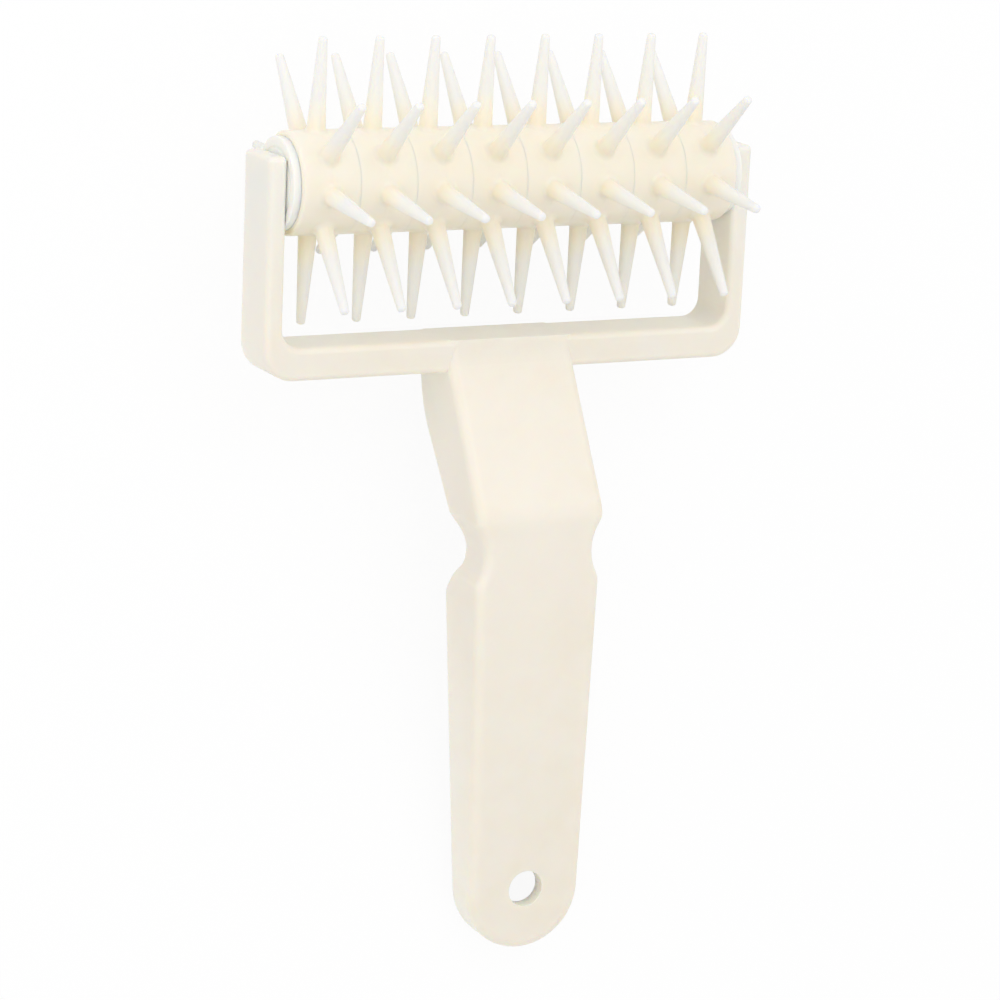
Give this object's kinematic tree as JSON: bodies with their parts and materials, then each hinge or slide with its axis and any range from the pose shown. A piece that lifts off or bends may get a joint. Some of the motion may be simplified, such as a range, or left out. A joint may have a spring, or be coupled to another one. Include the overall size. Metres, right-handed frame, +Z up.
{
  "type": "dough docker",
  "caption": "Dough docker: a spiked roller of plastic rings turning between the arms of a one-piece yoke with an offset, hollow-backed handle and a hanging hole.",
  "frame": {"origin": "on the table, under the middle of the tool's outline seen from above", "axes": "+X along the roller, -Y towards the end of the handle, +Z up; the tool lies as on a table, on two rows of spikes and the end of the grip"},
  "size_m": [0.125, 0.2132, 0.0626],
  "materials": {
    "moulding": "satin ivory plastic",
    "ring": "satin ivory plastic, slightly translucent at the spikes",
    "core": "plain satin plastic",
    "cap": "satin off-white plastic"
  },
  "bodies": {
    "yoke": {"yoke_handle": "moulding"},
    "roller": {"core_tube": "core", "end_cap_left": "cap", "end_cap_right": "cap", "spiked_ring_1": "ring", "spiked_ring_2": "ring", "spiked_ring_3": "ring", "spiked_ring_4": "ring", "spiked_ring_5": "ring", "spiked_ring_6": "ring", "spiked_ring_7": "ring", "spiked_ring_8": "ring"}
  },
  "joints": [
    {"name": "roller_spin", "type": "hinge", "parent": "yoke", "child": "roller", "pos_m": [0, 0.07529, 0.0313], "axis": [1, 0, 0], "continuous": true}
  ]
}
